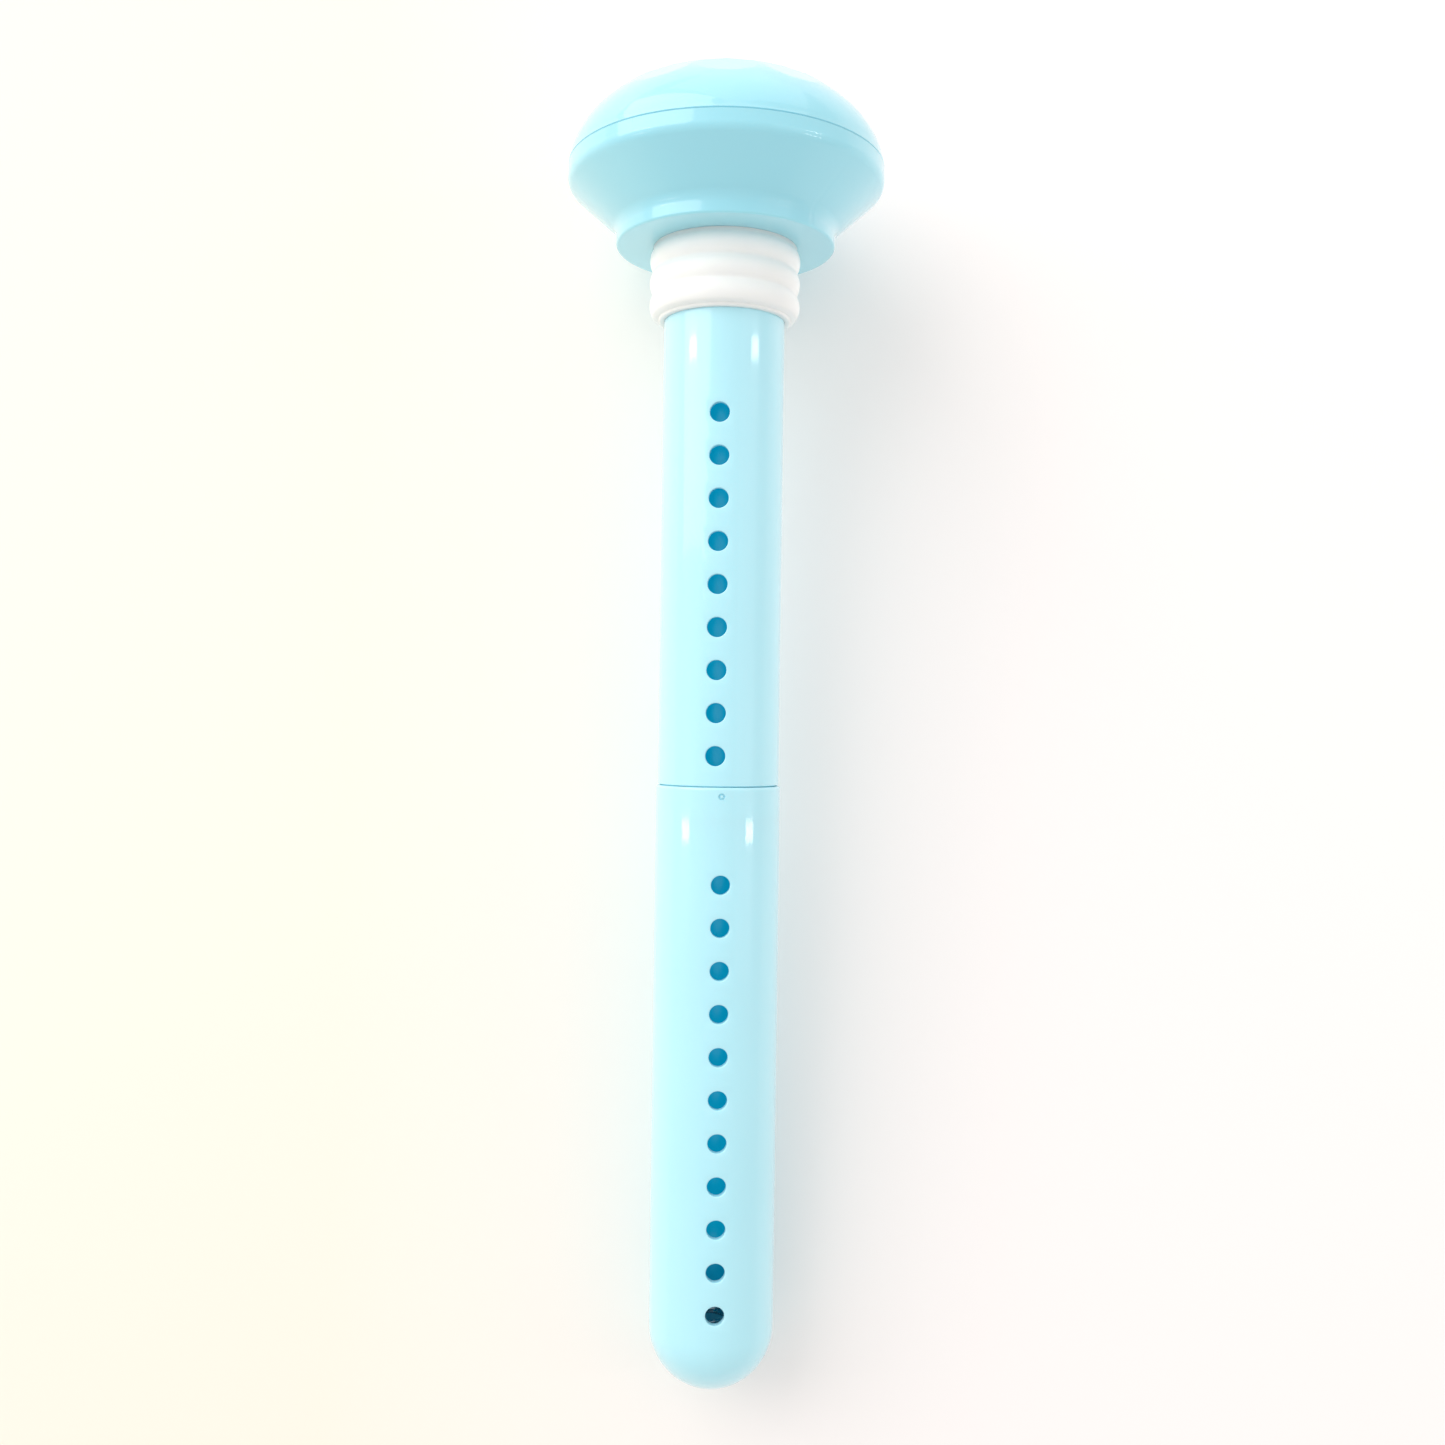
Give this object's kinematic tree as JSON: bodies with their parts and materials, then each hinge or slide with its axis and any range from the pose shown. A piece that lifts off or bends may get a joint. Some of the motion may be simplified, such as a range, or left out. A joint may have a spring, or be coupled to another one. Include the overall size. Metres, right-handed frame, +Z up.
{
  "type": "bottle humidifier",
  "caption": "Portable ultrasonic humidifier head with a ribbed bottle plug and a perforated two-part wick tube that hangs down into the bottle.",
  "frame": {"origin": "centre of the flange face that rests on the bottle's mouth", "axes": "+Z up along the common axis to the mist outlet; the wand hangs along -Z; the front hole rows face -Y; the socket and the button face +Y"},
  "size_m": [0.0472, 0.047, 0.1937],
  "materials": {
    "shell_plastic": "satin",
    "tube_plastic": "gloss",
    "deep_blue_plastic": "satin",
    "silicone": "satin",
    "seal_rubber": "satin",
    "board": "satin",
    "component_black": "matte",
    "ferrite": "matte",
    "capacitor_ceramic": "satin",
    "led_lens": "gloss",
    "bright_steel": "satin",
    "piezo_ceramic": "satin",
    "red_wire": "satin",
    "black_wire": "satin",
    "cotton": "matte",
    "cup_plastic": "satin"
  },
  "bodies": {
    "head": {"top_cover": "shell_plastic", "lower_shell": "shell_plastic", "circuit_board": "board", "usb_socket": "bright_steel", "usb_tongue": "component_black", "switch_body": "bright_steel", "status_led": "led_lens", "driver_chip": "component_black", "boost_inductor": "ferrite", "capacitors": "capacitor_ceramic", "board_screws": "bright_steel", "disc_gasket": "silicone", "mesh_plate": "bright_steel", "piezo_ring": "piezo_ceramic", "live_lead": "red_wire", "return_lead": "black_wire", "upper_tube": "tube_plastic", "wick_tube": "deep_blue_plastic", "stopper_sleeve": "silicone"},
    "button": {"power_button": "shell_plastic", "switch_stem": "component_black"},
    "seal": {"tube_o_ring": "seal_rubber"},
    "lower_wand": {"lower_tube": "tube_plastic", "wick_spring": "bright_steel"},
    "wick_core": {"wick": "cotton", "wick_cup": "cup_plastic"}
  },
  "joints": [
    {"name": "button_press", "type": "slide", "parent": "head", "child": "button", "axis": [-0.4226, -0.9063, 0], "range_m": [0, 0.0004], "stiffness_N_per_m": 1500, "springref_m": -0.0008},
    {"name": "tube_pull", "type": "slide", "parent": "head", "child": "seal", "axis": [0, 0, -1], "range_m": [0, 0.1]},
    {"name": "tube_turn", "type": "hinge", "parent": "seal", "child": "lower_wand", "pos_m": [0, 0, -0.085], "axis": [0, 0, 1], "continuous": true},
    {"name": "wick_press", "type": "slide", "parent": "lower_wand", "child": "wick_core", "axis": [0, 0, -1], "range_m": [0, 0.003], "stiffness_N_per_m": 150, "springref_m": -0.006, "deforming": ["wick_spring"]}
  ]
}
